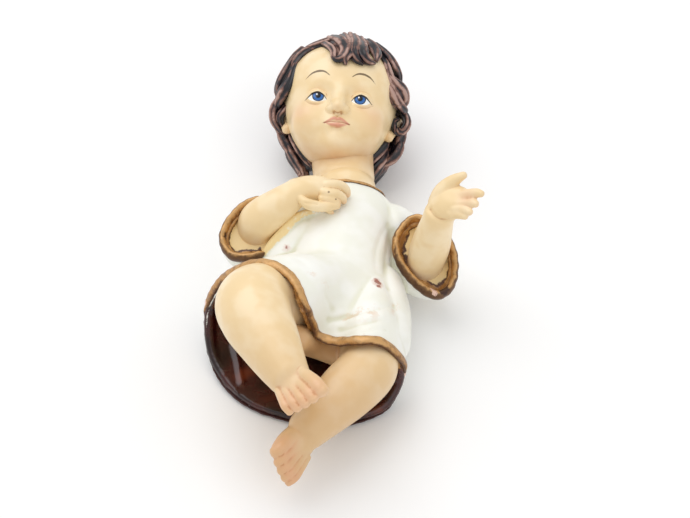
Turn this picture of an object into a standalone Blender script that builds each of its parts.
"""Baby Jesus figurine, cast in one piece of resin: a child in a short robe, lying on its back.

Metres, +Z up, the head towards +Y and its left side at +X. All points of the free form are
given in shares of the figure: one share is a 136th of its length from crown to toe, so that
they read as millimetres at the figure's real size.
"""

import math

import bmesh
import bpy
import numpy as np
from mathutils import Matrix, Vector

FIGURE_LENGTH = 0.136  # crown of the hair to the lowest toe, as it lies
SHARES = 136.0
SHARE = FIGURE_LENGTH / SHARES

ROBE_WALL = 0.0022  # wall of the skirt at its hem
CUFF_WALL = 0.0016  # wall of a sleeve at its cuff
HEM_BEAD = 0.0011  # radius of the raised band along the skirt's hem
CUFF_BEAD = 0.0010  # radius of the raised band round a cuff
NECK_BEAD = 0.0006  # radius of the cord round the neckline
REST_LEVEL = 1.9  # shares above the modelling ground at which the underside is ground flat
TRIANGLES = 9400  # facets left on the solid

VOXEL = 0.62 * SHARE  # grain at which the shapes are fused into one casting
SIDES = 20  # facets round a limb


def smooth_rows(rows, steps):
    """Rows of numbers read from a smooth curve through the given rows, steps to each span."""
    rows = np.asarray(rows, float)
    padded = np.vstack([2 * rows[0] - rows[1], rows, 2 * rows[-1] - rows[-2]])
    found = []
    for i in range(1, len(padded) - 2):
        before, start, end, after = padded[i - 1 : i + 3]
        for t in np.linspace(0, 1, steps, endpoint=False):
            found.append(
                start
                + 0.5 * t * (end - before)
                + t * t * (before - 2.5 * start + 2 * end - 0.5 * after)
                + t**3 * (1.5 * (start - end) + 0.5 * (after - before))
            )
    return np.array(found + [rows[-1]])


def closed_loop(points, count):
    """A closed smooth curve through points, as count rows."""
    points = np.asarray(points, float)
    wrapped = np.vstack([points[-2:], points, points[:2]])
    dense = smooth_rows(wrapped, 12)[24 : -12]
    lengths = np.r_[0, np.cumsum(np.linalg.norm(np.diff(dense[:, :3], axis=0), axis=1))]
    at = np.linspace(0, lengths[-1], count, endpoint=False)
    return np.column_stack([np.interp(at, lengths, column) for column in dense.T])


def unit(vector):
    """The vector at length one."""
    vector = np.asarray(vector, float)
    return vector / max(np.linalg.norm(vector), 1e-12)


def ring_points(centre, across, upward, half_width, half_depth, sides, ridges=0, relief=0.0):
    """An oval ring of points, with an optional number of ridges round it."""
    turn = np.linspace(0, 2 * math.pi, sides, endpoint=False)
    swell = 1 + relief * np.cos(ridges * turn)
    return (
        np.asarray(centre)
        + np.outer(half_width * swell * np.cos(turn), across)
        + np.outer(half_depth * swell * np.sin(turn), upward)
    )


def loft(bm, rings):
    """Extrudes a face through the rings, each with the same number of points."""
    sides = len(rings[0])
    first = bmesh.ops.create_circle(bm, cap_ends=True, radius=1, segments=sides)["verts"]
    face = first[0].link_faces[0]
    for vert, point in zip(face.verts, rings[0]):
        vert.co = point
    for number, ring in enumerate(rings[1:]):
        grown = bmesh.ops.extrude_face_region(bm, geom=[face])["geom"]
        new_face = next(g for g in grown if isinstance(g, bmesh.types.BMFace))
        if number:
            bmesh.ops.delete(bm, geom=[face], context="FACES_ONLY")
        face = new_face
        for vert, point in zip(face.verts, ring):
            vert.co = point


def limb_rings(rows, upward, sides=SIDES, steps=5, ridges=0, relief=0.0):
    """Rings of a limb through rows of x, y, z, half width, half depth, rounded off at both ends."""
    rows = smooth_rows(rows, steps)
    centres = rows[:, :3]
    along = np.gradient(centres, axis=0)
    rings = []
    for end, row, direction in ((0, rows[0], -1), (1, None, 0), (2, rows[-1], 1)):
        if end == 1:
            picked = [(r[:3], unit(a), 1.0, r[3], r[4]) for r, a in zip(rows, along)]
        else:
            tangent = unit(along[0] if end == 0 else along[-1])
            reach = 0.8 * min(row[3], row[4])
            turns = [1.0, 0.8, 0.55, 0.28] if end == 0 else [0.28, 0.55, 0.8, 1.0]
            picked = [
                (
                    row[:3] + tangent * direction * reach * math.sin(t * math.pi / 2),
                    tangent,
                    max(math.cos(t * math.pi / 2), 0.12),
                    row[3],
                    row[4],
                )
                for t in turns
            ]
        for centre, tangent, scale, half_width, half_depth in picked:
            across = unit(np.cross(tangent, upward))
            lifted = np.cross(across, tangent)
            rings.append(
                ring_points(
                    centre, across, lifted, half_width * scale, half_depth * scale,
                    sides, ridges, relief,
                )
            )
    return rings


def limb(bm, rows, upward=(0, 0, 1), **options):
    """A rounded limb of changing oval section."""
    loft(bm, limb_rings(rows, upward, **options))


def ball(bm, centre, radii, turn=None):
    """An ellipsoid, optionally turned."""
    place = Matrix.Translation(Vector(centre)) @ (turn or Matrix.Identity(4))
    place = place @ Matrix.Diagonal((*radii, 1))
    bmesh.ops.create_uvsphere(bm, u_segments=24, v_segments=14, radius=1, matrix=place)


def cup(bm, base, rim, axis, wall, bulge, deep):
    """A hollow of cloth: from an oval base out to an open rim, over it and back in by its wall."""
    centre, half_width, half_depth = base
    axis = unit(axis)
    across = unit(np.cross(axis, (0, 0, 1) if abs(axis[2]) < 0.8 else (0, 1, 0)))
    upward = np.cross(across, axis)
    spread = rim - rim.mean(axis=0)
    turn = np.arctan2(spread @ upward, spread @ across)
    foot = (
        np.asarray(centre)
        + np.outer(half_width * np.cos(turn), across)
        + np.outer(half_depth * np.sin(turn), upward)
    )

    def outward(ring):
        """Away from the hollow at each point of a ring, square to the ring and to the axis."""
        along = np.roll(ring, -1, axis=0) - np.roll(ring, 1, axis=0)
        square = np.cross(along, axis)
        square /= np.linalg.norm(square, axis=1)[:, None]
        return square * math.copysign(1, np.sum(square * spread))

    def outer(share):
        """The cloth's outside at a share of the way from base to rim."""
        ring = foot + (rim - foot) * share
        return ring + outward(ring) * bulge * math.sin(math.pi * share)

    def inner(share):
        """The cloth's inside at a share of the way from base to rim."""
        return outer(share) - outward(outer(share)) * wall

    rings = [foot + (foot.mean(axis=0) - foot) * 0.6, foot]
    rings += [outer(share) for share in (0.2, 0.4, 0.6, 0.8, 0.93, 1.0)]
    rings += [inner(share) for share in np.linspace(1.0, deep, 5)]
    loft(bm, rings)


def basis(origin, across, along, upward):
    """The matrix of a local frame from its three directions."""
    matrix = Matrix.Identity(4)
    for column, vector in enumerate((across, along, upward, origin)):
        for row in range(3):
            matrix[row][column] = vector[row]
    return matrix


def local_frame(origin, along, upward):
    """A local frame whose Y runs along and whose Z leans towards upward."""
    along = unit(along)
    across = unit(np.cross(along, upward))
    return basis(origin, across, along, np.cross(across, along))


def placed(rows, frame, size=1.0):
    """Rows of local points and radii, in the figure's frame and scaled."""
    found = []
    for x, y, z, *radii in rows:
        point = frame @ Vector((x * size, y * size, z * size))
        found.append([*point, *(r * size for r in radii)])
    return found


def up_of(frame):
    """The frame's third direction."""
    return np.array([frame[row][2] for row in range(3)])


HEAD_CENTRE = (-1.2, 48.4, 20.6)
HEAD_SIZE = 1.05
HEAD_PITCH = math.radians(21)
HEAD_ROLL = math.radians(-5)
HEAD_CORE = np.array([0.0, -1.5, 1.0])  # the point inside the skull that its surface is cast from


def head_frame():
    """X to the figure's left, Y to the crown, Z out of the face."""
    return (
        Matrix.Translation(Vector(HEAD_CENTRE))
        @ Matrix.Rotation(HEAD_PITCH, 4, "X")
        @ Matrix.Rotation(HEAD_ROLL, 4, "Z")
        @ Matrix.Scale(HEAD_SIZE, 4)
    )


def to_oval(points, centre, radii):
    """Distance from points to an ellipsoid, near enough for blending."""
    scaled = (points - np.array(centre)) / np.array(radii)
    far = np.linalg.norm(scaled, axis=1)
    steep = np.linalg.norm(scaled / np.array(radii), axis=1)
    return far * (far - 1) / np.maximum(steep, 1e-9)


def to_stroke(points, path, radii):
    """Distance from points to a rounded stroke through path, its radius changing from end to end."""
    path = np.asarray(path, float)
    nearest = np.full(len(points), 1e9)
    for start, end, first, last in zip(path, path[1:], radii, radii[1:]):
        span = end - start
        share = np.clip((points - start) @ span / (span @ span), 0, 1)
        gap = np.linalg.norm(points - start - np.outer(share, span), axis=1)
        nearest = np.minimum(nearest, gap - (first + (last - first) * share))
    return nearest


def blend(one, two, width):
    """The union of two distances, rounded over width."""
    mix = np.maximum(width - np.abs(one - two), 0) / width
    return np.minimum(one, two) - mix * mix * width / 4


def carve(one, two, width):
    """The first distance with the second taken out of it, rounded over width."""
    return -blend(-one, two, width)


def head_distance(points):
    """Distance to a calm child's head: skull, brow, cheeks, chin, nose, lips and lids."""
    d = to_oval(points, (0, 3.0, -1.5), (15.2, 14.6, 14.4))
    for centre, radii, width in (
        ((0, 5.0, 3.6), (12.2, 9.8, 9.4), 4),
        ((0, -4.6, 1.6), (12.8, 10.4, 11.0), 4),
        ((0, -9.6, 2.6), (9.6, 6.6, 8.4), 4),
        ((6.4, -7.4, 7.0), (5.0, 4.8, 4.6), 3),
        ((-6.4, -7.4, 7.0), (5.0, 4.8, 4.6), 3),
        ((0, -13.4, 8.2), (3.3, 2.7, 3.2), 3),
        ((0, -12.6, 2.6), (7.6, 4.4, 6.6), 3),
        ((0, -8.8, 10.2), (4.0, 2.8, 2.9), 2),
    ):
        d = blend(d, to_oval(points, centre, radii), width)
    for side in (-1, 1):
        d = carve(d, to_oval(points, (side * 5.5, -1.9, 14.4), (3.9, 2.3, 2.6)), 2.4)
        d = blend(d, to_oval(points, (side * 5.5, -2.2, 9.0), (3.7, 3.7, 3.7)), 0.4)
        upper = [
            (side * 2.9, -2.9, 11.2), (side * 3.9, -1.5, 12.2), (side * 5.5, -0.8, 12.65),
            (side * 7.1, -1.3, 12.2), (side * 8.4, -2.7, 10.9),
        ]
        lower = [
            (side * 2.9, -2.9, 11.2), (side * 4.1, -3.7, 12.0), (side * 5.6, -4.1, 12.2),
            (side * 7.2, -3.8, 11.8), (side * 8.4, -2.7, 10.9),
        ]
        d = blend(d, to_stroke(points, upper, (0.3, 0.5, 0.55, 0.5, 0.35)), 0.5)
        d = blend(d, to_stroke(points, lower, (0.3, 0.34, 0.38, 0.36, 0.3)), 0.6)
    d = blend(d, to_stroke(points, [(0, 0.5, 12.2), (0, -4.2, 13.6)], (1.1, 1.3)), 2.4)
    d = blend(d, to_oval(points, (0, -5.4, 13.9), (1.75, 1.6, 1.7)), 1.2)
    for side in (-1, 1):
        d = blend(d, to_oval(points, (side * 1.75, -5.8, 12.9), (1.15, 1.05, 1.3)), 0.7)
        d = carve(d, to_oval(points, (side * 0.95, -6.9, 13.7), (0.5, 0.42, 0.7)), 0.4)
    d = carve(d, to_stroke(points, [(0, -7.0, 13.4), (0, -8.0, 13.5)], (0.3, 0.35)), 0.7)
    upper = [(-3.0, -9.5, 12.1), (-1.5, -8.75, 12.85), (-0.6, -8.5, 13.1), (0, -8.75, 13.0),
             (0.6, -8.5, 13.1), (1.5, -8.75, 12.85), (3.0, -9.5, 12.1)]
    lower = [(-2.7, -9.8, 11.9), (-1.2, -10.25, 12.7), (0, -10.35, 12.9), (1.2, -10.25, 12.7),
             (2.7, -9.8, 11.9)]
    d = blend(d, to_stroke(points, upper, (0.3, 0.6, 0.7, 0.62, 0.7, 0.6, 0.3)), 0.5)
    d = blend(d, to_stroke(points, lower, (0.3, 0.75, 0.85, 0.75, 0.3)), 0.5)
    seam = [(-3.1, -9.6, 12.4), (-1.4, -9.35, 13.5), (0, -9.5, 13.75), (1.4, -9.35, 13.5), (3.1, -9.6, 12.4)]
    return carve(d, to_stroke(points, seam, (0.12, 0.2, 0.22, 0.2, 0.12)), 0.3)


def cast_head(directions):
    """Points of the head's surface along directions from its core."""
    near = np.full(len(directions), 6.0)
    far = np.full(len(directions), 24.0)
    for _ in range(22):
        middle = (near + far) / 2
        inside = head_distance(HEAD_CORE + directions * middle[:, None]) < 0
        near = np.where(inside, middle, near)
        far = np.where(inside, far, middle)
    return HEAD_CORE + directions * near[:, None]


def add_neck(bm):
    """The neck, from the chest up into the skull."""
    neck = [
        (0.3, 18, 15.0, 8.8, 7.6),
        (0.0, 25, 14.6, 8.0, 7.0),
        (-0.6, 33, 14.8, 8.2, 6.8),
        (-0.8, 40, 16.4, 8.4, 8.2),
    ]
    limb(bm, neck)


def add_head(bm):
    """The head and its ears."""
    frame = head_frame()
    skull = bmesh.ops.create_uvsphere(bm, u_segments=128, v_segments=96, radius=1)["verts"]
    directions = np.array([unit(vert.co) for vert in skull])
    for vert, point in zip(skull, cast_head(directions)):
        vert.co = frame @ Vector(point)
    for side in (-1, 1):
        limb(
            bm,
            placed(
                [
                    (side * 13.4, 0.5, -0.2, 0.9, 0.9),
                    (side * 15.2, 1.4, -1.6, 1.1, 1.1),
                    (side * 16.0, -1.4, -2.6, 1.1, 1.1),
                    (side * 15.4, -4.6, -1.8, 1.1, 1.1),
                    (side * 13.8, -6.8, 0.2, 1.6, 1.4),
                ],
                frame,
            ),
            steps=4,
            sides=12,
        )


# The robe's hem, from the figure's right hip over the knees and back under the legs.
HEM = [
    (-34.8, -13.5, 13.0),
    (-31.0, -13.5, 23.5),
    (-25.0, -15.0, 31.5),
    (-18.8, -17.5, 36.0),
    (-13.0, -22.0, 36.0),
    (-9.6, -28.0, 33.0),
    (-8.0, -29.5, 27.0),
    (-6.4, -30.5, 22.5),
    (-2.0, -32.0, 22.0),
    (3.2, -34.0, 25.0),
    (8.4, -34.0, 24.5),
    (12.6, -34.0, 19.5),
    (14.6, -33.0, 13.0),
    (13.8, -34.5, 7.0),
    (9.8, -39.5, 3.6),
    (1.0, -43.0, 2.8),
    (-8.5, -43.2, 2.8),
    (-15.4, -41.5, 2.8),
    (-23.5, -38.0, 2.8),
    (-30.0, -32.0, 3.2),
    (-34.0, -24.5, 5.0),
    (-35.4, -18.0, 8.5),
]


def add_robe_body(bm):
    """The robe's trunk from the neckline to the hips."""
    limb(
        bm,
        [
            (0.4, 19.0, 17.5, 9.0, 8.0),
            (-0.4, 14.5, 16.4, 14.5, 10.0),
            (-1.4, 7.0, 15.0, 14.6, 12.0),
            (-1.8, -3.0, 14.0, 13.6, 12.4),
            (-2.0, -10.0, 13.6, 14.2, 12.4),
            (-1.4, -15.0, 13.0, 14.6, 11.6),
        ],
        sides=28,
    )


def add_skirt(bm):
    """The robe's skirt: out to the hem and back in as a pocket behind the legs."""
    cup(bm, ((-3.0, -7.0, 14.0), 13.0, 11.6), closed_loop(HEM, 56), (0, -1, 0), ROBE_WALL / SHARE, 2.1, 0.4)


# The rims of the two cuffs, each round its elbow.
RIGHT_CUFF = [
    (-22.4, 11.0, 25.0),
    (-26.8, 9.6, 23.4),
    (-30.2, 5.8, 21.4),
    (-31.2, 1.8, 19.8),
    (-29.0, -1.8, 18.6),
    (-24.6, -2.6, 18.6),
    (-20.0, -1.8, 19.8),
    (-16.8, 1.8, 21.6),
    (-15.6, 6.4, 23.2),
    (-18.4, 10.0, 24.8),
]
LEFT_CUFF = [
    (16.6, 6.8, 22.0),
    (13.2, 2.8, 20.4),
    (13.4, -2.2, 18.2),
    (17.2, -7.2, 15.2),
    (22.8, -10.4, 13.2),
    (26.8, -8.6, 14.2),
    (27.9, -4.6, 17.4),
    (26.8, -0.6, 21.0),
    (24.0, 3.6, 22.6),
    (20.2, 6.4, 22.8),
]


def add_sleeves(bm):
    """Two wide sleeves that end in open cuffs."""
    wall = CUFF_WALL / SHARE
    limb(bm, [(-8, 11, 15.0, 8.0, 8.5), (-14, 9.0, 14.5, 8.0, 8.0), (-20.0, 6.0, 13.8, 7.0, 6.6)])
    cup(bm, ((-21.5, 5.0, 12.0), 7.6, 6.6), closed_loop(RIGHT_CUFF, 40), (-0.15, -0.12, 1), wall, 1.4, 0.45)
    limb(bm, [(7, 13, 15.0, 8.5, 8.5), (12.5, 8.5, 13.6, 8.0, 8.0), (17.0, 2.5, 11.6, 7.0, 6.6)])
    cup(bm, ((19.0, -0.5, 10.0), 6.6, 7.6), closed_loop(LEFT_CUFF, 40), (0.12, -0.1, 1), wall, 1.2, 0.45)


def add_bands(bm):
    """The raised bands along the hem, round the cuffs and round the neckline."""
    bands = [
        (closed_loop(HEM, 88), HEM_BEAD),
        (closed_loop(RIGHT_CUFF, 48), CUFF_BEAD),
        (closed_loop(LEFT_CUFF, 48), CUFF_BEAD),
        (neckline(40), NECK_BEAD),
    ]
    for path, radius in bands:
        band_round(bm, path, radius / SHARE)


def neckline(count):
    """The robe's neckline, an oval round the neck."""
    return ring_points((0.2, 20.6, 17.2), (1, 0, 0), unit((0, -0.25, 1)), 8.9, 8.3, count)


def band_round(bm, path, radius, sides=8):
    """A bead along a closed path: rings all round it, bridged end to end."""
    count = len(path)
    middle = path.mean(axis=0)
    loops = []
    for i in range(count):
        tangent = unit(path[(i + 1) % count] - path[i - 1])
        across = unit(np.cross(tangent, path[i] - middle))
        points = ring_points(path[i], across, np.cross(across, tangent), radius, radius, sides)
        verts = bmesh.ops.create_circle(bm, radius=1, segments=sides)["verts"]
        for vert, point in zip(verts, points):
            vert.co = point
        loops.append(verts)
    for one, two in zip(loops, loops[1:] + loops[:1]):
        edges = {e for verts in (one, two) for v in verts for e in v.link_edges
                 if all(w in verts for w in e.verts)}
        bmesh.ops.bridge_loops(bm, edges=list(edges))


RIGHT_LEG = [
    (-7, -10, 13.0, 9.6, 9.6),
    (-14.5, -18, 21.0, 9.8, 9.6),
    (-21.6, -26.0, 29.6, 9.4, 9.2),
    (-21.2, -33.0, 32.6, 8.8, 8.4),
    (-18.2, -40.0, 33.0, 7.6, 7.4),
    (-15.2, -46.5, 33.0, 6.2, 6.2),
    (-13.2, -50.5, 33.0, 5.2, 5.2),
]
LEFT_LEG = [
    (3.5, -10, 12.0, 8.4, 8.2),
    (5.0, -22, 13.4, 7.8, 7.8),
    (5.6, -30, 15.0, 7.2, 7.2),
    (5.4, -36.6, 16.5, 7.3, 7.1),
    (0.4, -43.4, 17.0, 7.1, 6.9),
    (-5.4, -49.6, 16.2, 6.0, 5.9),
    (-9.0, -53.4, 15.2, 5.0, 5.0),
]
RIGHT_FOOT = ((-14.2, -49.4, 33.2), (0.33, -0.81, 0.48), (-0.55, 0.24, 0.79), -1)
LEFT_FOOT = ((-8.0, -53.6, 15.0), (-0.38, -0.916, 0.12), (0.787, -0.25, 0.566), 1)
FOOT_SIZE = 0.84


def add_foot(bm, foot):
    """A plump foot and its five toes; side is where the big toe lies along the local X."""
    ankle, along, upward, side = foot
    frame = local_frame(ankle, along, upward)
    up = up_of(frame)
    body = [
        (0.0, -4.5, -3.4, 4.2, 4.0),
        (0.2 * side, 1.5, -2.0, 4.8, 4.8),
        (0.4 * side, 7.0, -3.4, 5.8, 3.6),
        (0.2 * side, 11.0, -4.2, 6.0, 2.8),
    ]
    limb(bm, placed(body, frame, FOOT_SIZE), up)


def add_toes(bm, foot):
    """The five toes, big one first."""
    ankle, along, upward, side = foot
    frame = local_frame(ankle, along, upward)
    up = up_of(frame)
    for offset, start, length, radius in (
        (4.3, 10.2, 5.0, 2.2),
        (1.2, 10.8, 4.7, 1.5),
        (-1.4, 10.6, 4.2, 1.42),
        (-3.8, 10.1, 3.7, 1.35),
        (-5.9, 9.3, 3.1, 1.28),
    ):
        rows = [
            (offset * side, start, -4.2, radius, radius * 0.9),
            (offset * side, start + 0.6 * length, -3.6, radius * 1.02, radius),
            (offset * side, start + length, -4.4, radius, radius * 0.95),
        ]
        limb(bm, placed(rows, frame, FOOT_SIZE), up, sides=12)


RIGHT_ARM = [
    (-20.8, 5.4, 15.0, 5.4, 5.4),
    (-21.6, 4.6, 20.4, 5.8, 5.8),
    (-19.6, 4.6, 23.6, 5.7, 5.7),
    (-15.2, 6.2, 27.6, 4.9, 4.9),
    (-11.2, 8.6, 30.2, 3.8, 3.8),
    (-9.6, 9.2, 30.6, 3.6, 3.4),
]
LEFT_ARM = [
    (20.5, -3.0, 10.5, 5.2, 5.4),
    (21.2, -3.0, 18.0, 5.3, 5.3),
    (21.8, -3.2, 24.0, 5.0, 5.0),
    (22.6, -3.9, 30.0, 4.2, 4.2),
    (23.3, -4.6, 35.0, 3.5, 3.5),
    (23.8, -5.0, 37.0, 3.4, 3.4),
]
RIGHT_HAND = ((-9.8, 9.2, 30.4), (0.98, -0.10, -0.10), (-0.05, -0.42, 0.90), -1)
LEFT_HAND = ((23.9, -4.8, 37.0), (0.80, -0.105, 0.59), (0.60, 0.09, -0.79), 1)


def add_palm(bm, hand, size):
    """The palm and heel of a hand."""
    wrist, along, upward, _ = hand
    frame = local_frame(wrist, along, upward)
    up = up_of(frame)
    limb(
        bm,
        placed([(0, -1, 0, 4.4, 4.0), (0, 3.5, 0, 5.4, 3.9), (0, 7.5, -0.2, 5.2, 3.0)], frame, size),
        up,
    )


def add_fingers(bm, hand, curl, thumb, size):
    """Four fingers and a thumb. curl bends the fingers towards the palm."""
    wrist, along, upward, side = hand
    frame = local_frame(wrist, along, upward)
    up = up_of(frame)
    for number, (offset, reach) in enumerate(((3.7, 6.0), (1.3, 6.8), (-1.2, 6.4), (-3.5, 5.2))):
        bend = math.radians(curl[number])
        rows = []
        y, z, angle = 7.2, 0.0, 0.0
        for step in range(4):
            radius = 1.42 - 0.10 * step
            rows.append((offset * side, y, z, radius, radius))
            angle += bend
            y += reach / 3 * math.cos(angle)
            z -= reach / 3 * math.sin(angle)
        limb(bm, placed(rows, frame, size), up, sides=12)
    rows = [(x * side, y, z, r, r) for x, y, z, r in thumb]
    limb(bm, placed(rows, frame, size), up, sides=12)


RIGHT_THUMB = [(3.6, 1.0, -1.0, 2.3), (5.4, 4.0, -2.0, 2.0), (5.2, 7.6, -3.0, 1.6)]
LEFT_THUMB = [(3.8, 1.2, -1.0, 2.4), (6.6, 4.0, -2.0, 2.0), (8.2, 7.2, -2.4, 1.6)]
RIGHT_HAND_SIZE = 0.80
LEFT_HAND_SIZE = 1.08
RIGHT_CURL = (26, 30, 34, 36)
LEFT_CURL = (10, 20, 24, 26)


def fused(bm, name, voxel, smoothing):
    """One closed mesh of all the shapes in bm, fused at voxel and smoothed."""
    mesh = bpy.data.meshes.new(name)
    bmesh.ops.recalc_face_normals(bm, faces=bm.faces)
    bm.to_mesh(mesh)
    bm.free()
    piece = bpy.data.objects.new(name, mesh)
    bpy.context.scene.collection.objects.link(piece)
    remesh = piece.modifiers.new("fuse", "REMESH")
    remesh.mode = "VOXEL"
    remesh.voxel_size = voxel
    remesh.use_smooth_shade = True
    if smoothing:
        smooth = piece.modifiers.new("blend", "SMOOTH")
        smooth.factor = 0.5
        smooth.iterations = smoothing
    graph = bpy.context.evaluated_depsgraph_get()
    done = bpy.data.meshes.new_from_object(piece.evaluated_get(graph))
    bpy.data.objects.remove(piece)
    return done


def to_real_size(bm):
    """Shares of the figure made metres."""
    bmesh.ops.transform(bm, matrix=Matrix.Scale(SHARE, 4), verts=bm.verts)


HAIR_CAP = np.array([0.0, 3.0, -2.0])
HAIR_RADII = np.array([15.4, 14.8, 15.2])
CROWN = np.array([0.0, 0.94, -0.34])
BROW = np.array([0.0, 0.34, 0.94])

# The mass of hair behind the ears and down to the neck: centres and radii.
NAPE = [
    ((0.0, -8.0, -8.0), (12.5, 9.0, 7.5)),
    ((8.6, -12.0, -6.2), (6.4, 7.2, 5.0)),
    ((-7.8, -11.0, -6.4), (5.8, 6.8, 4.8)),
]

# How far down from the crown the hair reaches, in degrees, from the forehead round to the nape.
HAIRLINE_ROUND = (0, 25, 45, 65, 90, 120, 150, 180)
HAIRLINE_DOWN = (62, 62, 70, 84, 102, 124, 134, 136)

# The locks of the fringe and the sides: x, y, z in the head's frame, half width, half depth.
CHOSEN_LOCKS = [
    [(-2.8, 16.8, 4.0, 1.6, 1.3), (-4.0, 14.4, 9.4, 2.4, 1.9), (-2.2, 11.0, 12.4, 2.4, 1.9),
     (0.8, 8.6, 13.6, 2.0, 1.5), (1.8, 6.6, 14.0, 0.9, 0.8)],
    [(0.8, 18.2, 4.0, 1.8, 1.4), (1.0, 15.4, 10.0, 2.6, 2.0), (1.8, 11.4, 13.2, 2.5, 1.9),
     (3.8, 8.0, 14.2, 2.0, 1.5), (3.0, 5.6, 14.2, 0.9, 0.8)],
    [(4.6, 17.4, 3.4, 1.8, 1.4), (5.0, 14.6, 9.2, 2.6, 2.0), (5.6, 10.8, 12.2, 2.5, 1.9),
     (7.6, 7.8, 13.0, 1.9, 1.5), (9.2, 6.8, 12.4, 0.9, 0.8)],
    [(8.4, 15.6, 3.0, 1.8, 1.4), (9.2, 13.0, 7.8, 2.6, 2.0), (9.6, 9.8, 10.2, 2.4, 1.8),
     (11.2, 7.4, 10.2, 1.9, 1.5), (12.8, 7.0, 8.6, 0.9, 0.8)],
    [(-0.6, 17.8, 4.4, 1.8, 1.4), (-4.8, 15.6, 8.4, 2.5, 1.9), (-8.8, 13.0, 8.4, 2.4, 1.8),
     (-11.8, 9.6, 7.0, 2.0, 1.5), (-13.2, 6.0, 6.2, 0.9, 0.8)],
    [(-3.0, 18.4, 0.0, 1.8, 1.4), (-8.4, 15.8, 4.0, 2.7, 2.0), (-12.4, 11.2, 4.4, 2.6, 1.9),
     (-14.8, 6.0, 3.4, 2.2, 1.6), (-15.0, 2.0, 4.0, 1.0, 0.8)],
    [(12.4, 12.4, 1.0, 1.8, 1.4), (14.8, 8.4, 3.0, 2.7, 2.0), (15.2, 4.2, 3.8, 2.6, 1.9),
     (16.6, 0.8, 2.4, 2.2, 1.7), (18.2, 0.2, 0.6, 1.0, 0.9)],
    [(15.4, 4.0, -1.4, 1.8, 1.5), (16.6, 0.2, -1.2, 2.8, 2.1), (16.2, -4.2, 0.4, 2.7, 2.0),
     (16.8, -7.6, -0.8, 2.3, 1.8), (18.2, -8.8, -2.4, 1.1, 1.0)],
    [(15.0, -3.0, -4.4, 2.0, 1.6), (15.2, -7.8, -4.6, 3.0, 2.3), (13.6, -12.2, -3.6, 2.9, 2.2),
     (12.2, -15.8, -4.0, 2.5, 1.9), (10.2, -18.6, -4.6, 1.2, 1.0)],
    [(13.0, -6.0, -8.0, 2.2, 1.8), (12.0, -11.0, -8.4, 3.4, 2.6), (10.0, -15.4, -6.8, 3.1, 2.4),
     (8.4, -18.8, -6.4, 2.6, 2.0), (5.8, -20.4, -7.2, 1.2, 1.0)],
    [(-14.4, 7.0, -1.2, 2.0, 1.5), (-16.4, 2.6, -0.4, 2.8, 2.1), (-16.0, -2.0, 1.0, 2.6, 1.9),
     (-16.8, -5.6, -0.6, 2.2, 1.7), (-18.2, -6.8, -2.6, 1.0, 0.9)],
    [(-15.4, -1.4, -3.8, 2.0, 1.6), (-15.2, -6.2, -3.4, 2.8, 2.1), (-12.6, -10.0, -3.0, 2.7, 2.0),
     (-11.2, -13.4, -4.2, 2.3, 1.7), (-11.2, -15.6, -5.8, 1.1, 1.0)],
    [(-12.8, -5.0, -8.0, 2.2, 1.8), (-11.6, -10.2, -8.2, 3.2, 2.4), (-9.4, -14.4, -6.8, 2.8, 2.1),
     (-8.4, -17.4, -6.8, 2.3, 1.8), (-7.4, -18.8, -8.0, 1.2, 1.0)],
]


def on_cap(round_crown, down, lift):
    """A point over the hair's cap: 0 round the crown is the forehead's side."""
    side = np.array([1.0, 0.0, 0.0])
    direction = CROWN * math.cos(down) + (
        BROW * math.cos(round_crown) + side * math.sin(round_crown)
    ) * math.sin(down)
    return HAIR_CAP + direction * (HAIR_RADII + lift)


def hair_locks():
    """Rows for every lock of hair: x, y, z in the head's frame, half width and half depth."""
    found = list(CHOSEN_LOCKS)
    for row, (count, start, end, width) in enumerate(
        ((8, 0.05, 0.52, 3.0), (13, 0.32, 0.78, 3.1), (19, 0.62, 1.0, 2.9))
    ):
        for number in range(count):
            turn = 2 * math.pi * (number + 0.5 * (row % 2)) / count
            around = abs((math.degrees(turn) + 180) % 360 - 180)
            reach = math.radians(np.interp(around, HAIRLINE_ROUND, HAIRLINE_DOWN))
            lock = []
            for step in range(6):
                t = step / 5
                down = reach * (start + (end - start) * t)
                swing = 0.15 * math.sin(2 * math.pi * (t + 0.37 * number)) / max(math.sin(down), 0.35)
                lift = 0.1 + 0.9 * math.sin(math.pi * t)
                size = width * (0.35 + 0.65 * math.sin(math.pi * (0.1 + 0.82 * t)))
                lock.append((*on_cap(turn + swing, down, lift), size, size * 0.6))
            found.append(lock)
    return found


def add_hair(bm):
    """The cap of hair and its waved locks, each on its own path from the crown outward."""
    frame = head_frame()
    middle = frame @ Vector(HAIR_CAP)
    for lock in hair_locks():
        rows = placed(lock, frame)
        outward = np.array(rows[len(rows) // 2][:3]) - np.array(middle)
        limb(bm, rows, outward, sides=12, steps=3)
    for centre, radii in NAPE:
        ball(bm, frame @ Vector(centre), radii)
    shell = bmesh.ops.create_uvsphere(bm, u_segments=48, v_segments=32, radius=1)["verts"]
    for vert in shell:
        direction = unit(vert.co)
        down = math.acos(max(-1.0, min(1.0, direction @ CROWN)))
        around = math.degrees(math.atan2(abs(direction[0]), direction @ BROW))
        reach = math.radians(np.interp(around, HAIRLINE_ROUND, HAIRLINE_DOWN))
        under = max(0.0, min(1.0, (down - reach) / 0.12))
        vert.co = frame @ Vector(HAIR_CAP + direction * (HAIR_RADII + 0.2 - 4.0 * under))


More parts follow.
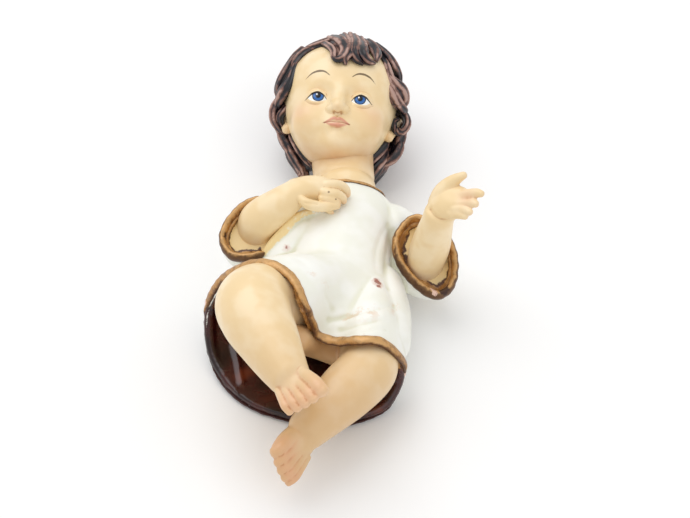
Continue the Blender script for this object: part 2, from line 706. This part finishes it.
def add_body(bm):
    """The trunk, robe and limbs, which are smoothed into each other."""
    add_neck(bm)
    add_robe_body(bm)
    add_skirt(bm)
    add_sleeves(bm)
    for rows in (RIGHT_LEG, LEFT_LEG, RIGHT_ARM, LEFT_ARM):
        limb(bm, rows, unit((0.2, -0.5, 1)), sides=24)
    for foot in (RIGHT_FOOT, LEFT_FOOT):
        add_foot(bm, foot)
    add_palm(bm, RIGHT_HAND, RIGHT_HAND_SIZE)
    add_palm(bm, LEFT_HAND, LEFT_HAND_SIZE)


def main():
    """Builds the figurine as one solid, ground flat below, with its origin under its middle."""
    for old in list(bpy.data.objects):
        bpy.data.objects.remove(old)
    body = bmesh.new()
    add_body(body)
    to_real_size(body)
    rough = fused(body, "rough", VOXEL, 6)

    whole = bmesh.new()
    for foot in (RIGHT_FOOT, LEFT_FOOT):
        add_toes(whole, foot)
    add_fingers(whole, RIGHT_HAND, RIGHT_CURL, RIGHT_THUMB, RIGHT_HAND_SIZE)
    add_fingers(whole, LEFT_HAND, LEFT_CURL, LEFT_THUMB, LEFT_HAND_SIZE)
    add_head(whole)
    add_hair(whole)
    add_bands(whole)
    to_real_size(whole)
    whole.from_mesh(rough)
    mesh = fused(whole, "whole", VOXEL, 2)

    figurine = bpy.data.objects.new("figurine", mesh)
    bpy.context.scene.collection.objects.link(figurine)
    thin = figurine.modifiers.new("facets", "DECIMATE")
    thin.ratio = TRIANGLES / (2 * len(mesh.polygons))
    graph = bpy.context.evaluated_depsgraph_get()
    figurine.data = bpy.data.meshes.new_from_object(figurine.evaluated_get(graph))
    figurine.modifiers.clear()
    ground_flat(figurine.data)
    figurine.data.materials.clear()
    figurine.data.materials.append(resin())


def ground_flat(mesh):
    """Grinds the underside flat and moves the middle of it to the origin; returns where it was."""
    bm = bmesh.new()
    bm.from_mesh(mesh)
    level = REST_LEVEL * SHARE
    everything = bm.verts[:] + bm.edges[:] + bm.faces[:]
    cut = bmesh.ops.bisect_plane(
        bm, geom=everything, dist=1e-7, plane_co=(0, 0, level), plane_no=(0, 0, 1), clear_inner=True
    )
    edges = [g for g in cut["geom_cut"] if isinstance(g, bmesh.types.BMEdge)]
    bmesh.ops.triangle_fill(bm, edges=edges, use_beauty=True)
    bmesh.ops.triangulate(bm, faces=bm.faces)
    bmesh.ops.recalc_face_normals(bm, faces=bm.faces)
    points = np.array([vert.co for vert in bm.verts])
    low, high = points.min(axis=0), points.max(axis=0)
    middle = Vector(((low[0] + high[0]) / 2, (low[1] + high[1]) / 2, low[2]))
    bmesh.ops.translate(bm, vec=-middle, verts=bm.verts)
    bm.to_mesh(mesh)
    bm.free()
    return middle


def resin():
    """Painted cast resin, in its commonest colour."""
    paint = bpy.data.materials.new("painted_resin")
    paint.use_nodes = True
    shader = paint.node_tree.nodes["Principled BSDF"]
    shader.inputs["Base Color"].default_value = (0.80, 0.62, 0.42, 1)
    shader.inputs["Roughness"].default_value = 0.42
    return paint


if __name__ == "__main__":
    main()
